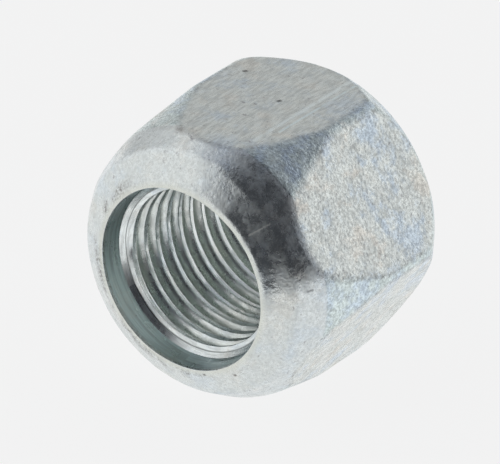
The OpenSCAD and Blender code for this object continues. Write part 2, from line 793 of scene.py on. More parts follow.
@dataclass(frozen=True)
class TappedBore:
    """The inside of the nut behind the ledge: helical thread and countersink, in millimetres."""

    sizes: NutSizes
    thread_phase: float = 0.84
    root_flat: float = 0.16
    root_ease: float = 0.06
    crest_ease: float = 0.035
    lip_ease: float = 0.05
    crest_wear: float = 0.04
    crest_ripple: Ripple = Ripple(37, 0.35, 1.4)
    thread_start: Span = (2.2, 2.4)
    row_steps: tuple[float, ...] = (0.0, 0.09, 0.2, 0.31, 0.41, 0.465, 0.54)
    turns_before: int = 2
    turns_after: int = 1
    sliver: float = 0.02

    def radius(self, depth: Array, angle: Array) -> Array:
        """Radius of the hole, with its thread.

        Args:
            depth: Depths behind the front face.
            angle: Angles about the axis.

        Returns:
            The hole's radius at each place.
        """
        s = self.sizes
        points = s.to_frame(depth, np.full_like(depth, s.crest_r), angle)
        worn = s.crest_r + self.crest_wear * self.crest_ripple.at(points).reshape(depth.shape)
        groove = s.crest_r + (self.groove_radius(depth, angle) - s.crest_r) * self.started(depth)
        thread = eased_max(groove, worn, self.crest_ease)
        sink = s.countersink_r - (s.height - depth) * math.tan(s.countersink)
        return eased_max(thread, sink, self.lip_ease)

    def started(self, depth: Array) -> Array:
        """Share of its full depth that the groove has at some depths."""
        start, full = self.thread_start
        return np.clip((depth - start) / (full - start), 0.0, 1.0)

    def groove_radius(self, depth: Array, angle: Array) -> Array:
        """Radius of the thread's groove alone.

        Args:
            depth: Depths behind the front face.
            angle: Angles about the axis.

        Returns:
            Radius of the groove's root or flank at each place.
        """
        s = self.sizes
        along = depth - self.thread_phase - s.pitch * angle / FULL_TURN
        off_groove = np.abs(np.mod(along + s.pitch / 2, s.pitch) - s.pitch / 2)
        flank = s.root_r - (off_groove - self.root_flat / 2) / math.tan(s.flank)
        return eased_min(flank, np.full_like(flank, s.root_r), self.root_ease)

    def traces(self, depth: Array, angle: Array) -> dict[Trace, Array]:
        """Values that the finishes read in the bore.

        Args:
            depth: Depths behind the front face.
            angle: Angles about the axis.

        Returns:
            The values of each trace at each place.
        """
        s = self.sizes
        groove = (self.groove_radius(depth, angle) - s.crest_r) / s.thread_depth
        traces = {trace: np.zeros_like(depth) for trace in Trace}
        for whole in (Trace.EDGE_GAP, Trace.RIM_GAP, Trace.DRAWN):
            traces[whole] = np.ones_like(depth)
        traces[Trace.GROOVE] = np.clip(groove, 0.0, 1.0) * self.started(depth)
        return traces

    @property
    def turn_steps(self) -> list[float]:
        """Places of the rows in one pitch, from the middle of the groove."""
        return sorted({*self.row_steps, *(-x for x in self.row_steps), self.sizes.pitch / 2})

    def row_starts(self, first: float, last: float) -> list[float]:
        """Depths, at the angle nought, of the rows that follow the thread.

        Args:
            first: Depth at which the bore starts.
            last: Depth at which it ends.

        Returns:
            Depths in rising order, from some turns before the start to past the end.
        """
        pitch = self.sizes.pitch
        start = math.floor((first - self.thread_phase) / pitch) - self.turns_before
        end = math.ceil((last - self.thread_phase) / pitch) + self.turns_after
        return [self.thread_phase + turn * pitch + x for turn in range(start, end) for x in self.turn_steps]


@dataclass
class MeshStock:
    """Points and faces gathered for one mesh."""

    points: list[Array]
    traces: dict[Trace, list[Array]]
    faces: list[tuple[int, ...]]
    dress: list[int]
    count: int = 0

    @classmethod
    def empty(cls) -> "MeshStock":
        """Starts with nothing gathered."""
        return cls([], {trace: [] for trace in Trace}, [], [])

    def add_points(self, points: Array, traces: dict[Trace, Array]) -> int:
        """Adds points with the values that they carry.

        Args:
            points: Points in metres, one per row.
            traces: Values of each trace at the points.

        Returns:
            Number of the first point added.
        """
        first = self.count
        self.points.append(points)
        for trace, values in traces.items():
            self.traces[trace].append(values.ravel())
        self.count += len(points)
        return first

    def add_face(self, corners: list[int], dress: Dress) -> None:
        """Adds a face, leaving out corners that repeat.

        Args:
            corners: Numbers of its points in order.
            dress: Finish that it takes.
        """
        kept = [c for i, c in enumerate(corners) if c != corners[i - 1]]
        if len(set(kept)) == len(kept) > 2:
            self.faces.append(tuple(kept))
            self.dress.append(dress.value)

    def add_grid(self, numbers: Array, dresses: list[Dress], inwards: bool = False) -> None:
        """Adds the faces of a grid of points.

        Args:
            numbers: Numbers of its points, row by row.
            dresses: Finish of the faces behind each row but the last.
            inwards: Whether the faces look towards the thread axis.
        """
        corners = [numbers[:-1, :-1], numbers[:-1, 1:], numbers[1:, 1:], numbers[1:, :-1]]
        if inwards:
            corners[1], corners[3] = corners[3], corners[1]
        for row, dress in zip(np.stack(corners, axis=-1).tolist(), dresses):
            for quad in row:
                self.add_face(quad, dress)


@dataclass(frozen=True)
class Mottle:
    """Character of a noise: its detail, its roughness and the span of its values that counts."""

    detail: float
    roughness: float
    span: Span = UNIT


class NodeSheet:
    """A node tree with short calls that place nodes and wire them."""

    # Places of the share and the two colours among a mix node's inputs, and of the colour it puts out
    MIX_INPUTS: ClassVar[tuple[int, ...]] = (0, 6, 7)
    MIX_RESULT: ClassVar[int] = 2

    def __init__(self, tree: bpy.types.NodeTree) -> None:
        """Starts on an empty tree."""
        self.tree = tree
        self.tree.nodes.clear()

    def place(self, kind: str, **settings: object) -> bpy.types.Node:
        """Places a node.

        Args:
            kind: Blender's name of the node's type.
            settings: Values of the node's own settings.

        Returns:
            The node.
        """
        node = self.tree.nodes.new(kind)
        for name, value in settings.items():
            setattr(node, name, value)
        return node

    def feed(self, socket: Socket, value: object) -> None:
        """Wires an output to an input, or sets a plain value on it.

        Args:
            socket: The input.
            value: The output of another node, or the plain value.
        """
        if isinstance(value, bpy.types.NodeSocket):
            self.tree.links.new(value, socket)
        else:
            socket.default_value = value

    def math(self, operation: str, a: object, b: object = 0.0) -> Socket:
        """Result of a sum of one or two values.

        Args:
            operation: Blender's name of the operation.
            a: First value.
            b: Second value, where the sum has one.

        Returns:
            The result.
        """
        node = self.place("ShaderNodeMath", operation=operation)
        self.feed(node.inputs[0], a)
        self.feed(node.inputs[1], b)
        return node.outputs[0]

    def product(self, *factors: object) -> Socket:
        """Product of two or more values.

        Args:
            factors: The values.

        Returns:
            The product.
        """
        total = factors[0]
        for factor in factors[1:]:
            total = self.math("MULTIPLY", total, factor)
        return total

    def rest(self, share: Socket) -> Socket:
        """What a share leaves of the whole."""
        return self.math("SUBTRACT", 1.0, share)

    def vector(self, operation: str, a: object, b: object, output: str = "Vector") -> Socket:
        """Result of a sum of two vectors.

        Args:
            operation: Blender's name of the operation.
            a: First vector.
            b: Second vector.
            output: Name of the result.

        Returns:
            The result.
        """
        node = self.place("ShaderNodeVectorMath", operation=operation)
        self.feed(node.inputs[0], a)
        self.feed(node.inputs[1], b)
        return node.outputs[output]

    def parts(self, vector: Socket) -> bpy.types.NodeOutputs:
        """Parts of a vector along the axes.

        Args:
            vector: The vector.

        Returns:
            Outputs with the names X, Y and Z.
        """
        node = self.place("ShaderNodeSeparateXYZ")
        self.feed(node.inputs[0], vector)
        return node.outputs

    def noise(self, place: Socket, fineness: object, look: Mottle) -> Socket:
        """Soft noise over a place.

        Args:
            place: The place.
            fineness: How fine the noise is.
            look: Its character.

        Returns:
            The noise, from 0 to 1.
        """
        node = self.place("ShaderNodeTexNoise")
        settings = {"Vector": place, "Scale": fineness, "Detail": look.detail, "Roughness": look.roughness}
        for name, fed in settings.items():
            self.feed(node.inputs[name], fed)
        return node.outputs["Fac"]

    def remap(self, value: Socket, span: FedSpan, to: FedSpan = UNIT) -> Socket:
        """Value carried smoothly from one span to another, and held at its ends.

        Args:
            value: The value.
            span: Span that it comes from.
            to: Span that it goes to.

        Returns:
            The carried value.
        """
        node = self.place("ShaderNodeMapRange", interpolation_type="SMOOTHSTEP")
        for socket, fed in zip(node.inputs, (value, *span, *to)):
            self.feed(socket, fed)
        return node.outputs["Result"]

    def mottle(self, place: Socket, fineness: object, look: Mottle, to: FedSpan = UNIT) -> Socket:
        """Noise whose span that counts is carried to another one."""
        return self.remap(self.noise(place, fineness, look), look.span, to)

    def mix(self, share: object, a: object, b: object, blend: str = "MIX") -> Socket:
        """Two colours mixed.

        Args:
            share: Share of the second colour.
            a: First colour.
            b: Second colour.
            blend: Blender's name of the way they are blended.

        Returns:
            The mixed colour.
        """
        node = self.place("ShaderNodeMix", data_type="RGBA", blend_type=blend)
        for index, fed in zip(self.MIX_INPUTS, (share, a, b)):
            self.feed(node.inputs[index], fed)
        return node.outputs[self.MIX_RESULT]

    def effect(self, tree: bpy.types.NodeTree, **inputs: object) -> bpy.types.Node:
        """Places a shared effect with its own values.

        Args:
            tree: The effect's node group.
            inputs: Values or sockets by input name, with underscores for spaces.

        Returns:
            The group's node.
        """
        node = self.place("ShaderNodeGroup", node_tree=tree)
        for name, value in inputs.items():
            self.feed(node.inputs[name.replace("_", " ")], value)
        return node

    def trace(self, trace: Trace) -> Socket:
        """Value that the mesh carries under a name."""
        return self.place("ShaderNodeAttribute", attribute_name=trace.value).outputs["Fac"]


class Effect(NodeSheet):
    """A shared effect: a node group with named inputs and outputs."""

    def __init__(
        self,
        name: str,
        inputs: dict[SocketKind, tuple[str, ...]],
        outputs: dict[SocketKind, tuple[str, ...]],
    ) -> None:
        """Makes the group with its sockets.

        Args:
            name: Name of the group.
            inputs: Names of the inputs by kind.
            outputs: Names of the outputs by kind.
        """
        super().__init__(bpy.data.node_groups.new(name, "ShaderNodeTree"))
        for side, sockets in (("INPUT", inputs), ("OUTPUT", outputs)):
            for kind, names in sockets.items():
                for socket in names:
                    self.tree.interface.new_socket(name=socket, in_out=side, socket_type=kind.value)
        self.given = self.place("NodeGroupInput").outputs
        self.result = self.place("NodeGroupOutput").inputs


@dataclass(frozen=True)
class PlateEffects:
    """The effects that the finishes of the zinc plate share."""

    GRAIN: ClassVar[Mottle] = Mottle(3.0, 0.65)
    SPECK: ClassVar[Mottle] = Mottle(3.0, 0.75, (0.3, 0.7))
    SPECK_SHIFT: ClassVar[Triple] = (7.3, 3.1, 5.7)
    CLOUD: ClassVar[Mottle] = Mottle(3.0, 0.55, (0.3, 0.7))
    CLOUDED_HEIGHT: ClassVar[Span] = (0.6, 1.3)
    PATCH: ClassVar[Mottle] = Mottle(5.0, 0.7)
    COOL_SPAN: ClassVar[Span] = (0.5, 0.66)
    WARM_SPAN: ClassVar[Span] = (0.48, 0.34)
    DIRT_AND_SHADE_DOT: ClassVar[Mottle] = Mottle(3.0, 0.7, (0.36, 0.72))
    DIRT_AND_SHADE_PATCH: ClassVar[Mottle] = Mottle(2.0, 0.5, (0.42, 0.6))
    MARK_BREAK: ClassVar[Mottle] = Mottle(2.0, 0.6, (0.34, 0.52))

    grain: bpy.types.NodeTree
    tint: bpy.types.NodeTree
    dirt_and_shade: bpy.types.NodeTree
    mark: bpy.types.NodeTree

    @classmethod
    def make(cls) -> "PlateEffects":
        """Builds the four effects."""
        return cls(cls.make_grain(), cls.make_tint(), cls.make_dirt_and_shade(), cls.make_mark())

    @classmethod
    def make_grain(cls) -> bpy.types.NodeTree:
        """Grain of the tumbled plate, drawn out into lines where the surface was drawn.

        Returns:
            A group that puts out a height, a mask of bright and dull specks, and a cloudy value.
        """
        sheet = Effect(
            "plate_grain",
            {
                SocketKind.VECTOR: ("Place", "Drawn Place"),
                SocketKind.VALUE: ("Drawn", "Fineness", "Cloud Fineness"),
            },
            {SocketKind.VALUE: ("Height", "Speck", "Cloud")},
        )
        given = sheet.given
        drawn = given["Drawn"]
        round_share = sheet.rest(drawn)

        def blended(look: Mottle, shift: Triple = (0.0, 0.0, 0.0)) -> Socket:
            """Noise that is round or drawn out, as the surface is.

            Args:
                look: Its character.
                shift: How far it is moved.

            Returns:
                The noise.
            """
            grains = sheet.noise(sheet.vector("ADD", given["Place"], shift), given["Fineness"], look)
            lines = sheet.noise(sheet.vector("ADD", given["Drawn Place"], shift), given["Fineness"], look)
            return sheet.math("ADD", sheet.product(grains, round_share), sheet.product(lines, drawn))

        cloud = sheet.noise(given["Place"], given["Cloud Fineness"], cls.CLOUD)
        strength = sheet.remap(cloud, cls.CLOUD.span, cls.CLOUDED_HEIGHT)
        speck = sheet.remap(blended(cls.SPECK, cls.SPECK_SHIFT), cls.SPECK.span)
        sheet.feed(sheet.result["Height"], sheet.product(blended(cls.GRAIN), strength))
        sheet.feed(sheet.result["Speck"], speck)
        sheet.feed(sheet.result["Cloud"], cloud)
        return sheet.tree

    @classmethod
    def make_tint(cls) -> bpy.types.NodeTree:
        """Faint cool and warm colours that the passivated plate shows in patches.

        Returns:
            A group that puts out the tinted colour.
        """
        sheet = Effect(
            "passivate_tint",
            {
                SocketKind.COLOR: ("Color", "Cool", "Warm"),
                SocketKind.VECTOR: ("Place",),
                SocketKind.VALUE: ("Fineness", "Amount"),
            },
            {SocketKind.COLOR: ("Color",)},
        )
        given = sheet.given
        patch = sheet.noise(given["Place"], given["Fineness"], cls.PATCH)
        cool = sheet.product(sheet.remap(patch, cls.COOL_SPAN), given["Amount"])
        warm = sheet.product(sheet.remap(patch, cls.WARM_SPAN), given["Amount"])
        cooled = sheet.mix(cool, given["Color"], given["Cool"])
        sheet.feed(sheet.result["Color"], sheet.mix(warm, cooled, given["Warm"]))
        return sheet.tree

    @classmethod
    def make_dirt_and_shade(cls) -> bpy.types.NodeTree:
        """Broken brown lines along a gap: dirt at the edges, and painted shade of a burr along the rim.

        Returns:
            A group that puts out the mask of the dirt and of the painted shade.
        """
        sheet = Effect(
            "edge_soil",
            {
                SocketKind.VECTOR: ("Place",),
                SocketKind.VALUE: ("Gap", "Reach", "Fineness", "Patch Fineness", "Amount"),
            },
            {SocketKind.VALUE: ("Soil",)},
        )
        given = sheet.given
        near = sheet.remap(given["Gap"], (given["Reach"], 0.0))
        dots = sheet.mottle(given["Place"], given["Fineness"], cls.DIRT_AND_SHADE_DOT)
        patch = sheet.mottle(given["Place"], given["Patch Fineness"], cls.DIRT_AND_SHADE_PATCH)
        sheet.feed(sheet.result["Soil"], sheet.product(near, dots, patch, given["Amount"]))
        return sheet.tree

    @classmethod
    def make_mark(cls) -> bpy.types.NodeTree:
        """A scratch, a streak or a pit along a straight run, a little broken up.

        Returns:
            A group that puts out the mask of the mark.
        """
        sheet = Effect(
            "handling_mark",
            {
                SocketKind.VECTOR: ("Place", "Start", "Run"),
                SocketKind.VALUE: ("Width", "Fineness"),
            },
            {SocketKind.VALUE: ("Mark",)},
        )
        given = sheet.given
        offset = sheet.vector("SUBTRACT", given["Place"], given["Start"])
        gone = sheet.vector("DOT_PRODUCT", offset, given["Run"], "Value")
        whole = sheet.vector("DOT_PRODUCT", given["Run"], given["Run"], "Value")
        share = sheet.math("MINIMUM", sheet.math("MAXIMUM", sheet.math("DIVIDE", gone, whole), 0.0), 1.0)
        along = sheet.place("ShaderNodeVectorMath", operation="SCALE")
        sheet.feed(along.inputs[0], given["Run"])
        sheet.feed(along.inputs["Scale"], share)
        gap = sheet.vector("DISTANCE", offset, along.outputs["Vector"], "Value")
        line = sheet.remap(gap, (given["Width"], 0.0))
        broken = sheet.mottle(given["Place"], given["Fineness"], cls.MARK_BREAK)
        sheet.feed(sheet.result["Mark"], sheet.product(line, broken))
        return sheet.tree


@dataclass(frozen=True)
class HandlingMark:
    """A mark that handling left, between two places given as depth in millimetres and angle in degrees."""

    start: Span
    end: Span
    width: float
    color: Color
    share: float
    fineness: float
    bare: bool = False


@dataclass(frozen=True)
class PlacedMark:
    """A handling mark at its points in space, in millimetres."""

    mark: HandlingMark
    start: Triple
    run: Triple


@dataclass(frozen=True)
class DirtAndShadeLine:
    """A broken brown line along a gap, sizes in millimetres: dirt at edges, painted burr shade on the rim.
    """

    gap: Trace
    reach: float
    fineness: float
    patch_fineness: float
    amount: float

    def mask(self, sheet: NodeSheet, effects: PlateEffects, place: Socket, share: object = None) -> Socket:
        """Mask of the line: dirt at the edges, painted burr shade on the rim.

        Args:
            sheet: The material's node sheet.
            effects: The shared effects.
            place: Place on the nut in millimetres.
            share: Share of the amount that each place has, where that varies.

        Returns:
            The mask.
        """
        dirt_and_shade = sheet.effect(
            effects.dirt_and_shade,
            Gap=sheet.trace(self.gap),
            Reach=self.reach,
            Place=place,
            Fineness=self.fineness,
            Patch_Fineness=self.patch_fineness,
            Amount=self.amount if share is None else sheet.product(share, self.amount),
        )
        return dirt_and_shade.outputs["Soil"]


@dataclass(frozen=True)
class ZincFinish:
    """A finish of bright zinc plate on steel, with sizes in millimetres.

    A pair of values belongs to the calm and the coarse parts of the surface, in that order. The roughness
    goes with the clouds of the plate instead.
    """

    name: str
    color: Color = (0.79, 0.84, 0.845, 1.0)
    cool: Color = (0.68, 0.80, 0.92, 1.0)
    warm: Color = (0.86, 0.83, 0.76, 1.0)
    flat_color: Color = (0.815, 0.86, 0.838, 1.0)
    taper_color: Color = (0.745, 0.84, 0.835, 1.0)
    tint_amount: Span = (0.35, 0.8)
    tint_fineness: float = 0.36
    dull_speck: Span = (0.86, 0.70)
    bright_speck: Span = (1.04, 1.12)
    drawn_calm: float = 0.65
    grain_fineness: float = 4.2
    grain_height: Span = (0.021, 0.056)
    cloud_fineness: float = 1.1
    along_draw: float = 0.2
    roughness: Span = (0.18, 0.36)

    def make(self, effects: PlateEffects) -> bpy.types.Material:
        """Builds the finish as a material.

        Args:
            effects: The effects that it shares with the other finishes.

        Returns:
            The material.
        """
        material = bpy.data.materials.new(self.name)
        material.use_nodes = True
        sheet = NodeSheet(material.node_tree)
        place = self.place(sheet)
        flat = sheet.trace(Trace.FLAT)
        taper = sheet.trace(Trace.TAPER)
        drawn = sheet.trace(Trace.DRAWN)
        calm = sheet.product(drawn, self.drawn_calm)
        coarse = sheet.math("SUBTRACT", sheet.math("ADD", flat, taper), calm)
        grain = sheet.effect(
            effects.grain,
            Place=place,
            Drawn_Place=self.drawn_place(sheet, place),
            Drawn=drawn,
            Fineness=self.grain_fineness,
            Cloud_Fineness=self.cloud_fineness,
        ).outputs
        tint = sheet.effect(
            effects.tint,
            Color=sheet.mix(taper, sheet.mix(flat, self.color, self.flat_color), self.taper_color),
            Cool=self.cool,
            Warm=self.warm,
            Place=place,
            Fineness=self.tint_fineness,
            Amount=sheet.remap(coarse, UNIT, self.tint_amount),
        ).outputs
        pairs = (self.dull_speck, self.bright_speck, self.grain_height)
        dull, bright, height = (sheet.remap(coarse, UNIT, pair) for pair in pairs)
        speck = sheet.remap(grain["Speck"], UNIT, (dull, bright))
        plain = sheet.mix(1.0, tint["Color"], speck, "MULTIPLY")
        color, metal = self.stained(sheet, effects, place, plain)
        bump = sheet.place("ShaderNodeBump")
        sheet.feed(bump.inputs["Height"], sheet.product(grain["Height"], height))
        sheet.feed(bump.inputs["Distance"], MM)
        shader = sheet.place("ShaderNodeBsdfPrincipled")
        sheet.feed(shader.inputs["Base Color"], color)
        sheet.feed(shader.inputs["Metallic"], metal)
        roughness = sheet.remap(grain["Cloud"], effects.CLOUD.span, self.roughness)
        sheet.feed(shader.inputs["Roughness"], roughness)
        sheet.feed(shader.inputs["Normal"], bump.outputs["Normal"])
        sheet.feed(sheet.place("ShaderNodeOutputMaterial").inputs["Surface"], shader.outputs["BSDF"])
        return material

    def place(self, sheet: NodeSheet) -> Socket:
        """Place on the nut in millimetres."""
        coordinates = sheet.place("ShaderNodeTexCoord")
        return sheet.vector("MULTIPLY", coordinates.outputs["Object"], (1.0 / MM,) * 3)

    def drawn_place(self, sheet: NodeSheet, place: Socket) -> Socket:
        """Place drawn out along the nut's axis."""
        return sheet.vector("MULTIPLY", place, (1.0, self.along_draw, 1.0))

    def stained(
        self, sheet: NodeSheet, effects: PlateEffects, place: Socket, color: Socket
    ) -> tuple[object, object]:
        """Adds what lies on the plate.

        Args:
            sheet: The material's node sheet; not used here.
            effects: The shared effects; not used here.
            place: Place on the nut in millimetres; not used here.
            color: Colour of the clean plate.

        Returns:
            The stained colour and how far the surface is still bare metal.
        """
        return color, 1.0


@dataclass(frozen=True)
class SkinFinish(ZincFinish):
    """The plate on the forged outside, with a creamy rim, soiled edges, painted shade on the rim and
    handling marks.
    """

    pit_color: Color = (0.30, 0.29, 0.31, 1.0)
    pit_amount: float = 0.65
    pit_fineness: float = 2.4
    pit_look: Mottle = Mottle(4.0, 0.7, (0.60, 0.70))
    dust_fineness: float = 5.0
    dust_amount: float = 0.13
    dust_look: Mottle = Mottle(6.0, 0.75, (0.48, 0.62))
    rim_color: Color = (0.78, 0.80, 0.73, 1.0)
    rim_amount: float = 0.8
    # Brown of the dirt at the edges, also used for the painted burr shade on the rim
    dirt_and_shade_color: Color = (0.17, 0.145, 0.12, 1.0)
    edge_soil: DirtAndShadeLine = DirtAndShadeLine(Trace.EDGE_GAP, 0.17, 4.0, 0.35, 0.45)
    # Painted shade: a dark brown band on the rim and nose at the lower left stands in for the shadow of a
    # burr at the relief's lip, and the side below keeps it there
    rim_burr_shade: DirtAndShadeLine = DirtAndShadeLine(Trace.RIM_GAP, 0.65, 5.5, 0.6, 1.0)
    burr_shade_side: Triple = (-0.12, 0.0, -0.06)
    burr_shade_side_span: Span = (-0.7, 0.1)
    marks: tuple[PlacedMark, ...] = ()

    def stained(
        self, sheet: NodeSheet, effects: PlateEffects, place: Socket, color: Socket
    ) -> tuple[object, object]:
        """Adds the pits, the creamy rim, the soil at the edges, the painted burr shade on the rim and the
        marks.

        Args:
            sheet: The material's node sheet.
            effects: The shared effects.
            place: Place on the nut in millimetres.
            color: Colour of the clean plate.

        Returns:
            The stained colour and how far the surface is still bare metal.
        """
        pits = sheet.mottle(place, self.pit_fineness, self.pit_look)
        color = sheet.mix(sheet.product(pits, self.pit_amount), color, self.pit_color)
        color = sheet.mix(sheet.product(sheet.trace(Trace.RIM), self.rim_amount), color, self.rim_color)
        # Painted burr shade along the rim at the lower left, joined with the real dirt at the edges
        off_side = sheet.vector("DOT_PRODUCT", place, self.burr_shade_side, "Value")
        side = sheet.remap(off_side, self.burr_shade_side_span)
        edges = self.edge_soil.mask(sheet, effects, place)
        dirt_and_shade = sheet.math("MAXIMUM", edges, self.rim_burr_shade.mask(sheet, effects, place, side))
        color = sheet.mix(dirt_and_shade, color, self.dirt_and_shade_color)
        dust = sheet.mottle(place, self.dust_fineness, self.dust_look, (0.0, self.dust_amount))
        metal = sheet.rest(sheet.math("MAXIMUM", dirt_and_shade, dust))
        for placed in self.marks:
            mask = sheet.effect(
                effects.mark,
                Place=place,
                Start=placed.start,
                Run=placed.run,
                Width=placed.mark.width,
                Fineness=placed.mark.fineness,
            ).outputs["Mark"]
            mask = sheet.product(mask, placed.mark.share)
            color = sheet.mix(mask, color, placed.mark.color)
            if not placed.mark.bare:
                metal = sheet.product(metal, sheet.rest(mask))
        return color, metal


@dataclass(frozen=True)
class BoredFinish(ZincFinish):
    """The plate in the machined bore, where the grain follows the thread and the grooves are olive.

    A fine dark line runs round the lead-in, at a place along the axis from the nut's middle.
    """

    groove_color: Color = (0.70, 0.75, 0.68, 1.0)
    groove_amount: float = 0.85
    line_place: float = -6.08
    line_width: float = 0.035
    line_color: Color = (0.22, 0.24, 0.24, 1.0)
    axis_height: float = 0.0
    lead: float = 0.0

    def drawn_place(self, sheet: NodeSheet, place: Socket) -> Socket:
        """Place drawn out along the thread's helix.

        Args:
            sheet: The material's node sheet.
            place: Place on the nut in millimetres.

        Returns:
            The drawn-out place.
        """
        parts = sheet.parts(place)
        rise = sheet.math("SUBTRACT", parts["Z"], self.axis_height)
        turn = sheet.math("ARCTAN2", parts["X"], rise)
        climb = sheet.product(turn, self.lead / FULL_TURN)
        joined = sheet.place("ShaderNodeCombineXYZ")
        sheet.feed(joined.inputs["X"], sheet.math("SUBTRACT", parts["Y"], climb))
        sheet.feed(joined.inputs["Y"], sheet.product(turn, self.along_draw))
        return joined.outputs[0]

    def stained(
        self, sheet: NodeSheet, effects: PlateEffects, place: Socket, color: Socket
    ) -> tuple[object, object]:
        """Adds the olive of the grooves and the fine line.

        Args:
            sheet: The material's node sheet.
            effects: The shared effects; not used here.
            place: Place on the nut in millimetres.
            color: Colour of the clean plate.

        Returns:
            The stained colour and how far the surface is still bare metal.
        """
        groove = sheet.product(sheet.trace(Trace.GROOVE), self.groove_amount)
        color = sheet.mix(groove, color, self.groove_color)
        off_line = sheet.math("ABSOLUTE", sheet.math("SUBTRACT", sheet.parts(place)["Y"], self.line_place))
        line = sheet.remap(off_line, (self.line_width, 0.0))
        return sheet.mix(line, color, self.line_color), 1.0


@dataclass(frozen=True)
class ForgedNut:
    """The whole nut as one closed mesh, with its forged skin and tapped bore.

    Its marks are the scratch on the nose, two bare streaks and two pits on the top flat, three brown specks
    at the seat end and a faint stain above the mouth.
    """

    sizes: NutSizes
    node: str = "nut"
    slot: str = "zinc_plate"
    piece: str = "forged_nut"
    marks: tuple[HandlingMark, ...] = (
        HandlingMark((0.29, 45.9), (1.14, 46.6), 0.09, (0.70, 0.71, 0.66, 1.0), 1.0, 0.2),
        HandlingMark((4.5, 14.7), (15.2, 15.1), 0.28, (0.92, 1.0, 1.0, 1.0), 1.0, 0.7, bare=True),
        HandlingMark((6.5, 18.0), (15.0, 18.4), 0.15, (0.86, 0.98, 1.0, 1.0), 1.0, 0.8, bare=True),
        HandlingMark((11.9, -22.1), (12.0, -21.8), 0.24, (0.07, 0.065, 0.06, 1.0), 0.9, 0.3),
        HandlingMark((9.9, 2.8), (10.0, 3.0), 0.24, (0.06, 0.06, 0.055, 1.0), 0.9, 0.3),
        HandlingMark((1.85, 80.2), (2.15, 80.2), 0.15, (0.10, 0.10, 0.10, 1.0), 0.7, 0.3),
        HandlingMark((0.0, 161.6), (0.0, 162.4), 0.14, (0.16, 0.13, 0.10, 1.0), 0.8, 0.3),
        HandlingMark((0.29, 142.0), (0.29, 142.8), 0.13, (0.16, 0.13, 0.10, 1.0), 0.8, 0.3),
        HandlingMark((2.7, -14.0), (2.8, -14.4), 0.55, (0.22, 0.18, 0.15, 1.0), 0.45, 3.0),
    )

    def build(self) -> bpy.types.Object:
        """Builds the mesh in place.

        Returns:
            The nut's object, riding on the fixed frame and standing for the plain solid.
        """
        skin = ForgedSkin(self.sizes)
        sheet = skin.sheet()
        stock = MeshStock.empty()
        outer = self.add_skin(stock, skin, sheet)
        self.add_bore(stock, skin, outer, sheet.angle[0, ::2])
        mesh = self.to_mesh(stock)
        nut = bpy.data.objects.new(self.piece, mesh)
        bpy.context.scene.collection.objects.link(nut)
        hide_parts(self.node)
        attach(nut, "root")
        log.info("%s: %d points, %d faces", nut.name, len(mesh.vertices), len(mesh.polygons))
        return nut

    def add_skin(self, stock: MeshStock, skin: ForgedSkin, sheet: MeshSheet) -> Array:
        """Adds the skin's points and faces.

        Args:
            stock: Mesh stock to add to.
            skin: The skin.
            sheet: Its grid of points.

        Returns:
            Numbers of the skin's points, row by row.
        """
        points = self.sizes.to_frame(sheet.depth, sheet.radius, sheet.angle)
        first = stock.add_points(points, sheet.traces)
        numbers = first + np.arange(sheet.depth.size).reshape(sheet.depth.shape)
        dresses = [skin.dress(row) for row in range(len(numbers) - 1)]
        stock.add_grid(np.hstack([numbers, numbers[:, :1]]), dresses)
        return numbers

    def add_bore(self, stock: MeshStock, skin: ForgedSkin, outer: Array, angle: Array) -> None:
        """Adds the bore's points and faces, and joins it to the skin at both ends.

        Args:
            stock: Mesh stock to add to.
            skin: The skin that it joins.
            outer: Numbers of the skin's points, row by row, with two columns for each of the bore's.
            angle: Angles of the bore's columns.
        """
        s = self.sizes
        bore = TappedBore(s)
        columns = len(angle)
        first = skin.entry_end_at(angle) + skin.wall_start
        last = np.full(columns, s.height - skin.bore_lip)
        starts = np.array(bore.row_starts(first.min(), last.max()))
        depth = starts[:, None] + s.pitch * angle[None, :] / FULL_TURN
        inside = (depth > first + bore.sliver) & (depth < last - bore.sliver)

        def add_points(some_depth: Array, some_angle: Array) -> int:
            """Adds points of the bore, and gives the number of the first."""
            points = s.to_frame(some_depth, bore.radius(some_depth, some_angle), some_angle)
            return stock.add_points(points, bore.traces(some_depth, some_angle))

        front_end = add_points(first, angle)
        back_end = add_points(last, angle)
        numbers = np.where(depth <= first + bore.sliver, front_end, back_end) + np.arange(columns)
        inner_angle = np.broadcast_to(angle, depth.shape)[inside]
        numbers[inside] = add_points(depth[inside], inner_angle) + np.arange(len(inner_angle))
        turn = len(bore.turn_steps)
        joined = np.hstack([numbers[:-turn], numbers[turn:, :1]])
        stock.add_grid(joined, [Dress.BORE] * (len(joined) - 1), inwards=True)
        for column in range(columns):
            after = (column + 1) % columns
            trio = [2 * column, 2 * column + 1, 2 * after]
            front = outer[0, trio].tolist()
            back = outer[-1, trio].tolist()
            stock.add_face([front_end + column, front_end + after, *front[::-1]], Dress.BORE)
            stock.add_face([*back, back_end + after, back_end + column], Dress.BORE)

    def to_mesh(self, stock: MeshStock) -> bpy.types.Mesh:
        """Makes the Blender mesh.

        Args:
            stock: Points and faces.

        Returns:
            The mesh, smooth and with the values that the finishes read.
        """
        mesh = bpy.data.meshes.new(self.piece)
        mesh.from_pydata(np.vstack(stock.points).tolist(), [], stock.faces)
        mesh.polygons.foreach_set("material_index", stock.dress)
        mesh.shade_smooth()
        for trace, values in stock.traces.items():
            attribute = mesh.attributes.new(trace.value, "FLOAT", "POINT")
            attribute.data.foreach_set("value", np.concatenate(values).astype(np.float32))
        mesh.update()
        mesh.validate()
        return mesh

    def placed_marks(self) -> tuple[PlacedMark, ...]:
        """Finds the handling marks' points on the skin.

        Returns:
            The marks, each with its start and its run.
        """
        skin = ForgedSkin(self.sizes)

        def point(depth: float, degrees: float) -> Array:
            """Point of the skin in millimetres."""
            angle = math.radians(degrees)
            return self.sizes.to_frame(depth, skin.outer_radius(depth, angle), angle)[0] / MM

        placed = []
        for mark in self.marks:
            start = point(*mark.start)
            run = point(*mark.end) - start
            placed.append(PlacedMark(mark, tuple(start), tuple(run)))
        return tuple(placed)

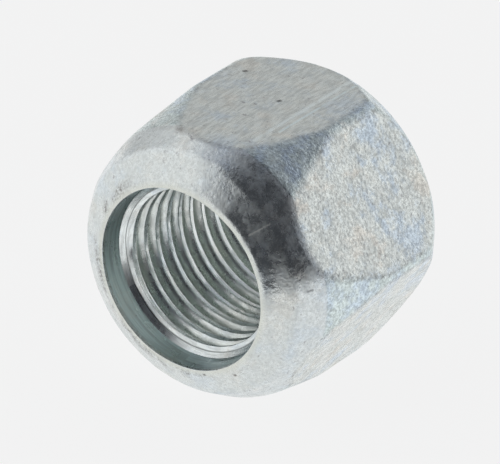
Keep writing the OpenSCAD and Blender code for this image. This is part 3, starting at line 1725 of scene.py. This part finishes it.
    def dress(self, nut: bpy.types.Object) -> None:
        """Gives the nut its three finishes, in the order of Dress.

        Args:
            nut: The nut's object.
        """
        effects = PlateEffects.make()
        skin = SkinFinish("zinc_skin", marks=self.placed_marks())
        bore = BoredFinish(
            "zinc_bore",
            color=(0.87, 0.92, 0.915, 1.0),
            roughness=(0.22, 0.35),
            dull_speck=(0.78, 0.78),
            bright_speck=(1.08, 1.08),
            grain_fineness=7.0,
            grain_height=(0.01, 0.01),
            along_draw=0.5,
            axis_height=self.sizes.flat_r,
            lead=self.sizes.pitch,
        )
        relief = BoredFinish(
            "zinc_relief",
            color=(0.80, 0.925, 0.94, 1.0),
            roughness=(0.26, 0.36),
            dull_speck=(0.80, 0.80),
            bright_speck=(1.12, 1.12),
            grain_fineness=3.0,
            grain_height=(0.008, 0.008),
            along_draw=0.3,
            tint_amount=(0.25, 0.25),
            groove_amount=0.0,
            axis_height=self.sizes.flat_r,
        )
        for finish in (skin, bore, relief):
            nut.data.materials.append(finish.make(effects))
            log.info("%s: %s", nut.name, finish.name)


@dataclass(frozen=True)
class StudioTent:
    """The light tent: pale walls, a white floor, a greyer top and a dim side at the right front.

    A side is a direction, and its span gives how far a direction agrees with it where the side starts and
    where it is full. Sizes of the floor are in metres.
    """

    backdrop: float = 0.896
    wall: float = 0.86
    shaded_wall: float = 0.53
    shaded_side: Triple = (-0.60, 0.74, 0.30)
    shaded_span: Span = (0.5, 0.92)
    top: float = 0.335
    top_side: Triple = (0.08, 0.26, 0.962)
    top_span: Span = (0.68, 0.94)
    # The dim side, bounded below and towards the back, where it also fades
    dim: float = 0.051
    dim_color: Color = (0.96, 1.0, 1.12, 1.0)
    dim_side: Triple = (0.870, -0.376, 0.320)
    dim_side_span: Span = (0.19, 0.41)
    dim_base: Triple = (0.0, -0.174, 0.985)
    dim_base_span: Span = (-0.21, -0.08)
    dim_back: Triple = (0.0, 1.0, 0.0)
    dim_back_span: Span = (0.66, 0.45)
    dim_fade_span: Span = (0.10, -0.10)
    dim_back_share: float = 0.55
    # The floor, and what it shows to the camera and to the plate
    floor_back: float = 0.6
    floor_front: float = 0.045
    floor_right: float = 0.11
    floor_color: Color = (0.9, 0.9, 0.9, 1.0)
    floor_glow: float = 0.9
    floor_level: float = 0.95
    floor_shine: Span = (0.90, 0.98)
    floor_shine_span: Span = (-0.03, 0.02)

    def light(self) -> None:
        """Sets the world up as the tent's walls."""
        world = bpy.data.worlds.new("light_tent")
        bpy.context.scene.world = world
        world.use_nodes = True
        sheet = NodeSheet(world.node_tree)
        direction = sheet.place("ShaderNodeTexCoord").outputs["Generated"]

        def facing(axis: Triple, span: Span) -> Socket:
            """Share by which the direction lies on one side of the tent."""
            return sheet.remap(sheet.vector("DOT_PRODUCT", direction, axis, "Value"), span)

        fade = sheet.remap(facing(self.dim_back, self.dim_fade_span), UNIT, (self.dim_back_share, 1.0))
        dim = sheet.product(
            facing(self.dim_side, self.dim_side_span),
            facing(self.dim_base, self.dim_base_span),
            facing(self.dim_back, self.dim_back_span),
            fade,
        )
        top = facing(self.top_side, self.top_span)
        shaded = facing(self.shaded_side, self.shaded_span)
        wall = sheet.remap(shaded, UNIT, (self.wall, self.shaded_wall))
        wall = self.toned(sheet, wall, top, self.top)
        wall = self.toned(sheet, wall, dim, self.dim)
        seen = sheet.place("ShaderNodeLightPath").outputs["Is Camera Ray"]
        unlit = sheet.product(sheet.math("MAXIMUM", dim, top), sheet.rest(seen))
        background = sheet.place("ShaderNodeBackground")
        sheet.feed(background.inputs["Strength"], self.toned(sheet, wall, seen, self.backdrop))
        sheet.feed(background.inputs["Color"], sheet.mix(unlit, WHITE, self.dim_color))
        sheet.feed(sheet.place("ShaderNodeOutputWorld").inputs["Surface"], background.outputs[0])
        log.info("light_tent: walls at %.2f", self.wall)

    @staticmethod
    def toned(sheet: NodeSheet, level: Socket, share: Socket, to: float) -> Socket:
        """Level that a share carries towards another one."""
        return sheet.math("ADD", level, sheet.product(share, sheet.math("SUBTRACT", to, level)))

    def lay_floor(self) -> None:
        """Lays the white floor under the nut."""
        back, front, right = self.floor_back, -self.floor_front, self.floor_right
        corners = [(-back, front, 0), (right, front, 0), (right, back, 0), (-back, back, 0)]
        mesh = bpy.data.meshes.new("floor")
        mesh.from_pydata(corners, [], [(0, 1, 2, 3)])
        mesh.materials.append(self.floor_material())
        floor = bpy.data.objects.new("floor", mesh)
        bpy.context.scene.collection.objects.link(floor)
        log.info("floor: white, staged")

    def floor_material(self) -> bpy.types.Material:
        """White paper that takes the nut's shadow and looks evenly lit to the camera and in the plate.

        Returns:
            The material.
        """
        material = bpy.data.materials.new("white_floor")
        material.use_nodes = True
        sheet = NodeSheet(material.node_tree)
        path = sheet.place("ShaderNodeLightPath").outputs
        seen = sheet.math("MAXIMUM", path["Is Camera Ray"], path["Is Glossy Ray"])
        seen = sheet.math("MAXIMUM", seen, path["Is Transmission Ray"])
        paper = sheet.place("ShaderNodeBsdfDiffuse")
        sheet.feed(paper.inputs["Color"], self.floor_color)
        depth = sheet.parts(sheet.place("ShaderNodeTexCoord").outputs["Object"])["Y"]
        shine = sheet.remap(depth, self.floor_shine_span, self.floor_shine)
        glow = sheet.place("ShaderNodeEmission")
        sheet.feed(glow.inputs["Color"], WHITE)
        level = self.toned(sheet, shine, path["Is Camera Ray"], self.floor_level)
        sheet.feed(glow.inputs["Strength"], level)
        blend = sheet.place("ShaderNodeMixShader")
        shares = (sheet.product(seen, self.floor_glow), paper.outputs[0], glow.outputs[0])
        for socket, fed in zip(blend.inputs, shares):
            sheet.feed(socket, fed)
        sheet.feed(sheet.place("ShaderNodeOutputMaterial").inputs["Surface"], blend.outputs[0])
        return material


@dataclass(frozen=True)
class LongLens:
    """The camera, far off with a long lens, at the photograph's viewing angle.

    Distances are in millimetres, and the target is a point of the shared frame.
    """

    azimuth: float = math.radians(35.823)
    elevation: float = math.radians(29.340)
    roll: float = math.radians(1.656)
    distance: float = 404.24
    target: Triple = (-0.1645, -0.0387, 9.6404)
    lens: float = 432.0
    sensor: float = 36.0

    def set_up(self) -> None:
        """Places the camera and makes it the scene's own."""
        level = math.cos(self.elevation)
        back = Vector(
            (math.sin(self.azimuth) * level, -math.cos(self.azimuth) * level, math.sin(self.elevation))
        )
        level_right = Vector((math.cos(self.azimuth), math.sin(self.azimuth), 0.0))
        level_up = back.cross(level_right)
        right = level_right * math.cos(self.roll) + level_up * math.sin(self.roll)
        up = back.cross(right)
        lens = bpy.data.cameras.new("long_lens")
        lens.lens = self.lens
        lens.sensor_width = self.sensor
        camera = bpy.data.objects.new("long_lens", lens)
        bpy.context.scene.collection.objects.link(camera)
        place = (Vector(self.target) + back * self.distance) * MM
        camera.matrix_world = Matrix.Translation(place) @ Matrix((right, up, back)).transposed().to_4x4()
        bpy.context.scene.camera = camera
        log.info("camera: %.0f mm lens", self.lens)


def main() -> None:
    """Builds the nut, dresses it and sets up the light and the camera."""
    logging.basicConfig(level=logging.INFO, format="%(name)s: %(message)s")
    bpy.context.scene.view_settings.view_transform = "Standard"
    nut = ForgedNut(NutSizes.from_frame("nut", "stud_thread"))
    nut.dress(nut.build())
    tent = StudioTent()
    tent.light()
    tent.lay_floor()
    LongLens().set_up()


if __name__ == "__main__":
    main()
